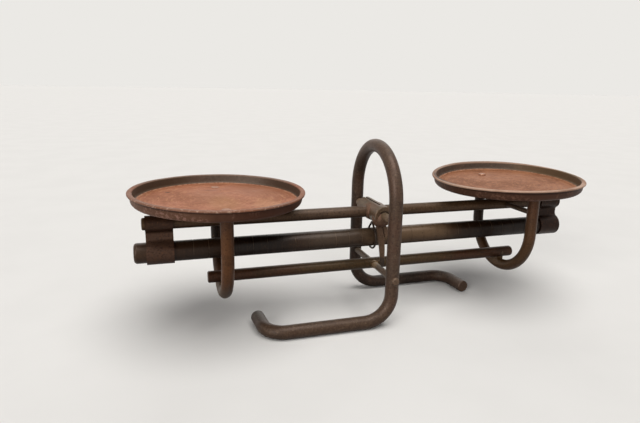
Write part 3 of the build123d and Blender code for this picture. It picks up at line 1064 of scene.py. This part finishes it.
@dataclass(frozen=True)
class Studio:
    """Pale paper floor, even room light and three wide soft lamps; the floor's radius is in metres."""

    floor_radius: float = 20.0
    floor_sides: int = 96
    room_light: float = 0.1
    room_tint: str = "#fdfcff"
    backdrop: str = "#ebe9e5"
    paper: StudioPaper = StudioPaper()
    camera: StillCamera = StillCamera()
    lamps: tuple[SoftSun, ...] = (
        SoftSun("skylight", (0.05, -0.25, 0.95), 52.0, 2.4),
        SoftSun("left_window", (-0.72, -0.60, 0.35), 34.0, 1.4),
        SoftSun("back_window", (0.25, 0.75, 0.60), 50.0, 0.4),
    )

    def build(self) -> None:
        """Make floor, room light, lamps and camera."""
        self.floor()
        self.room()
        for lamp in self.lamps:
            lamp.build()
        self.camera.build()
        bpy.context.scene.view_settings.view_transform = "Standard"
        LOG.info("studio: floor, room light, lamps and camera")

    def floor(self) -> None:
        """Lay the paper."""
        build = bmesh.new()
        bmesh.ops.create_circle(build, cap_ends=True, radius=self.floor_radius, segments=self.floor_sides)
        sheet = mesh_object("studio_floor", build)
        sheet.data.materials.append(self.paper.material())

    def room(self) -> None:
        """Light the room evenly and show eyes and reflections a pale wall."""
        world = bpy.data.worlds.new("pale_room")
        world.use_nodes = True
        tree = world.node_tree
        tree.nodes.clear()
        seen = seen_by_eye(tree)
        light, wall = (
            add(tree, "Background", inputs={"Color": linear(tint), "Strength": strength})
            for tint, strength in ((self.room_tint, self.room_light), (self.backdrop, 1.0))
        )
        pair = {1: light.outputs["Background"], 2: wall.outputs["Background"]}
        mix = add(tree, "MixShader", inputs={0: seen, **pair})
        output = add(tree, "OutputWorld")
        tree.links.new(mix.outputs["Shader"], output.inputs["Surface"])
        bpy.context.scene.world = world


# ---- sub-assemblies


@dataclass(frozen=True)
class Stand:
    """Bent bar with two feet, and the thin rod across its legs."""

    def build(self) -> None:
        """Dress the bar and the rod."""
        dress(["stand_frame"], STAND_STEEL.material())
        dress(["lower_cross_rod"], ROD_STEEL.material())


@dataclass(frozen=True)
class WeldBead:
    """Broad smooth bead laid round the butt of one half beam and the hub.

    It reaches throat millimetres out over the hub and reach along the half beam, and its edges are
    sunk into both. Flatness 1 would make its section round, and 2 straight. Ripple and lumpiness
    are shares of its thickness. Ripples are counted round the bar, and lumps in a radian.
    """

    side: Side
    throat: float = 3.2
    reach: float = 1.8
    flatness: float = 1.35
    ripple: float = 0.06
    ripples: int = 11
    lumpiness: float = 0.12
    lumps: float = 1.7
    sunk: float = 0.3
    slices: int = 144
    arc_points: int = 10

    def build(self, material: Material) -> None:
        """Lay the bead along the line where the two bars meet, riding on the beam.

        Args:
            material: Finish of the bead.
        """
        build = bmesh.new()
        rings = [self.slice(build, math.tau * i / self.slices) for i in range(self.slices)]
        join_rings(build, rings + rings[:1])
        bead = mesh_object(f"weld_bead_{self.side.word}", build)
        bead.data.materials.append(material)
        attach(bead, "beam")
        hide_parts(f"hub_weld_{self.side.word}")
        LOG.info("%s: %s", bead.name, material.name)

    def point(self, angle: float, out: float, off: float) -> Vector:
        """Point near the butt.

        Args:
            angle: Angle round the half beam, in radians.
            out: Distance from the half beam's axis, in millimetres.
            off: Distance from the hub's surface, along the half beam.

        Returns:
            The point, in millimetres.
        """
        rise = out * math.sin(angle)
        hub = math.sqrt(HUB_RADIUS**2 - rise**2)
        return Vector((self.side.value * (hub + off), out * math.cos(angle), PIVOT_HEIGHT + rise))

    def slice(self, build: BMesh, angle: float) -> Ring:
        """Add one slice of the bead, from the half beam round to the hub.

        Args:
            build: Mesh under construction.
            angle: Where the slice is, round the half beam.

        Returns:
            The slice's vertices.
        """
        lump = noise.noise(Vector((math.cos(angle), math.sin(angle), self.side.value)) * self.lumps)
        wave = abs(math.sin(angle * self.ripples / 2)) - 1.0
        swell = 1.0 + self.ripple * wave + self.lumpiness * (lump - 0.5)
        sunk = -self.sunk
        places = [(sunk, sunk), (sunk, self.reach * swell)]
        for i in range(1, self.arc_points):
            turn = math.pi / 2 * i / (self.arc_points - 1)
            out = self.throat * math.sin(turn) ** self.flatness * swell
            off = self.reach * math.cos(turn) ** self.flatness * swell
            places.append((out, off))
        places.append((self.throat * swell, sunk))
        points = [self.point(angle, BEAM_RADIUS + out, off) for out, off in places]
        return [build.verts.new(point * MM) for point in points]


@dataclass(frozen=True)
class Beam:
    """Hub, shaft, half beams, welds, pointer, straps and hanger pins."""

    def build(self) -> None:
        """Dress the beam's nodes and lay its weld beads."""
        dress(["beam_rod_left", "beam_rod_right"], BEAM_STEEL.material())
        dress(["hub_sleeve"], HUB_STEEL.material())
        dress(["pointer"], POINTER_STEEL.material())
        dress(["main_shaft"], SHAFT_STEEL.material())
        dress(["strap_left", "strap_right"], STRAP_STEEL.material())
        dress(["hanger_pin_left", "hanger_pin_right"], PIN_STEEL.material())
        weld = WELD_STEEL.material()
        dress(["pointer_weld"], weld)
        for side in Side:
            WeldBead(side).build(weld)


@dataclass(frozen=True)
class ScaleTube:
    """Graduated tube with its plugs, and the wire rider on it."""

    def build(self) -> None:
        """Dress tube, plugs and rider."""
        dress(["scale_tube", "tube_plug_left", "tube_plug_right"], TUBE_STEEL.material())
        dress(["rider_loop"], WIRE_STEEL.material())


@dataclass(frozen=True)
class Stay:
    """Lower stay with its brass bush and end pins."""

    def build(self) -> None:
        """Dress the stay's nodes."""
        dress(["lower_stay"], STAY_STEEL.material())
        dress(["stay_bush"], TarnishedBrass().material())
        dress(["stay_pin_left", "stay_pin_right"], PIN_STEEL.material())


@dataclass(frozen=True)
class Pan:
    """Round pan pressed from sheet, its rim turned out, a little uneven and warped from use.

    Lean is in degrees about X and Y. Warp lifts the rim twice round, as the cosine and the sine of
    twice the angle, and starts at the radius warp_from. Swells and ripples are waves per millimetre.
    """

    side: Side
    centre: Triple
    lean: Pair
    seed: float
    warp: Pair
    rim_radius: float = 73.2
    wall_top_radius: float = 71.2
    wall_low_radius: float = 70.4
    depth: float = 7.8
    sheet: float = 2.2
    lip: float = 1.9
    corner: float = 4.2
    floor_corner: float = 2.4
    edge: float = 0.8
    mouth: float = 1.0
    warp_from: float = 45.0
    segments: int = 192
    arc_points: int = 7
    floor_step: float = 4.0
    uneven: float = 0.22
    swells: float = 0.028
    ripples: float = 0.11
    ripple_share: float = 0.35
    ripple_seed: float = 5.0
    squeeze: float = 0.0025

    @property
    def floor_radius(self) -> float:
        """Where the flat floor ends and the corner begins."""
        return self.wall_low_radius - self.sheet - self.floor_corner

    def build(self, skin: PanSkin) -> None:
        """Turn the pan's section round its middle, and let the pan ride on its hanger.

        Args:
            skin: Finish of the pan.
        """
        build = bmesh.new()
        rings = [self.ring(build, radius, height) for radius, height in self.section()]
        top, bottom = rings[0][0], rings[-1][0]
        join_rings(build, rings[1:-1])
        for i in range(self.segments):
            j = (i + 1) % self.segments
            build.faces.new((top, rings[1][j], rings[1][i]))
            build.faces.new((bottom, rings[-2][i], rings[-2][j]))
        dish = mesh_object(f"pressed_pan_{self.side.word}", build)
        turn = Euler([math.radians(a) for a in self.lean] + [0.0], "ZYX").to_matrix().to_4x4()
        dish.matrix_world = Matrix.Translation(Vector(self.centre) * MM) @ turn
        dish.data.materials.append(skin.material(self))
        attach(dish, f"{self.side.word}_hanger")
        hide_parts(f"pan_{self.side.word}")
        LOG.info("%s: %s", dish.name, dish.data.materials[0].name)

    def section(self) -> list[Pair]:
        """Half section from the floor's middle, out over the rim and back below.

        Returns:
            Radius and height of each ring, in millimetres, the rim's top being at 0.
        """
        inner_low = self.wall_low_radius - self.sheet
        inner_top = self.wall_top_radius - self.sheet
        under = -self.depth - self.sheet
        corners = [
            (inner_low, -self.depth, self.floor_corner),
            (inner_top, 0.0, self.mouth),
            (self.rim_radius, 0.0, self.edge),
            (self.rim_radius, -self.lip, self.edge),
            (self.wall_top_radius, -self.lip, self.edge),
            (self.wall_low_radius, under, self.corner),
        ]
        steps = int(self.floor_radius / self.floor_step)
        rings = [(self.floor_radius * i / steps, -self.depth) for i in range(steps)]
        turned = [(0.0, -self.depth), *[c[:2] for c in corners], (0.0, under)]
        for i, (radius, height, size) in enumerate(corners, 1):
            rings += self.rounded(turned[i - 1], (radius, height), turned[i + 1], size)
        rings += [(self.floor_radius * i / steps, under) for i in range(steps - 1, -1, -1)]
        return rings

    def rounded(self, before: Pair, corner: Pair, after: Pair, size: float) -> list[Pair]:
        """Round one corner of the section with an arc.

        Args:
            before: Corner before it.
            corner: Corner to round.
            after: Corner after it.
            size: Radius of the arc.

        Returns:
            Points along the arc.
        """
        point = Vector(corner)
        back = (Vector(before) - point).normalized()
        ahead = (Vector(after) - point).normalized()
        half = back.angle(ahead) / 2
        middle = point + (back + ahead).normalized() * size / math.sin(half)
        start = point + back * size / math.tan(half) - middle
        end = point + ahead * size / math.tan(half) - middle
        arc = []
        for i in range(self.arc_points):
            spoke = start.lerp(end, i / (self.arc_points - 1)).normalized() * size
            arc.append(tuple(middle + spoke))
        return arc

    def ring(self, build: BMesh, radius: float, height: float) -> Ring:
        """Add one ring of the pan, or its middle point.

        Args:
            build: Mesh under construction.
            radius: Ring's radius, in millimetres.
            height: Ring's height, in millimetres.

        Returns:
            The ring's vertices.
        """
        count = self.segments if radius > 0 else 1
        weight = max(0.0, (radius - self.warp_from) / (self.rim_radius - self.warp_from)) ** 2
        verts = []
        for i in range(count):
            turn = math.tau * i / count
            flat = Vector((math.cos(turn), math.sin(turn), 0.0)) * radius
            swell = noise.noise(flat * self.swells + Vector((0.0, 0.0, self.seed)))
            ripple = noise.noise(flat * self.ripples + Vector((0.0, 0.0, self.seed + self.ripple_seed)))
            bent = self.warp[0] * math.cos(2 * turn) + self.warp[1] * math.sin(2 * turn)
            rise = self.uneven * (swell + self.ripple_share * ripple) + weight * bent
            inwards = 1.0 - self.squeeze * abs(swell)
            point = Vector((flat.x * inwards, flat.y * inwards, height + rise - self.uneven))
            verts.append(build.verts.new(point * MM))
        return verts


@dataclass(frozen=True)
class Hanger:
    """U-bent bar under a pan, with its lug, its pan and the pan's rivets."""

    pan: Pan

    def build(self, bar: Material, rivet: Material, skin: PanSkin) -> None:
        """Dress the hanger's nodes and make its pan.

        Args:
            bar: Finish of bar and lug.
            rivet: Finish of the rivets.
            skin: Finish of the pan.
        """
        word = self.pan.side.word
        dress([f"hanger_{word}", f"hanger_lug_{word}"], bar)
        dress([f"pan_rivets_{word}"], rivet)
        self.pan.build(skin)


@dataclass(frozen=True)
class CounterBalance:
    """The whole balance."""

    stand: Stand = Stand()
    beam: Beam = Beam()
    tube: ScaleTube = ScaleTube()
    stay: Stay = Stay()
    hangers: tuple[Hanger, ...] = (
        Hanger(
            Pan(Side.LEFT, centre=(-144.45, -3.0, 123.0), lean=(0.85, 0.9), seed=3.0, warp=(0.2, 0.2))
        ),
        Hanger(
            Pan(Side.RIGHT, centre=(144.0, 3.5, 124.3), lean=(1.95, -1.7), seed=11.0, warp=(-1.06, 0.4))
        ),
    )

    def build(self) -> None:
        """Build every sub-assembly in turn."""
        self.stand.build()
        self.beam.build()
        self.tube.build()
        self.stay.build()
        bar, rivet = HANGER_STEEL.material(), RIVET_STEEL.material()
        for hanger in self.hangers:
            hanger.build(bar, rivet, PAN_SKINS[hanger.pan.side])


def main() -> None:
    """Build the studio and the balance."""
    logging.basicConfig(level=logging.INFO, format="%(message)s", stream=sys.stdout)
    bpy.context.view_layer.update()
    Studio().build()
    CounterBalance().build()


if __name__ == "__main__":
    main()
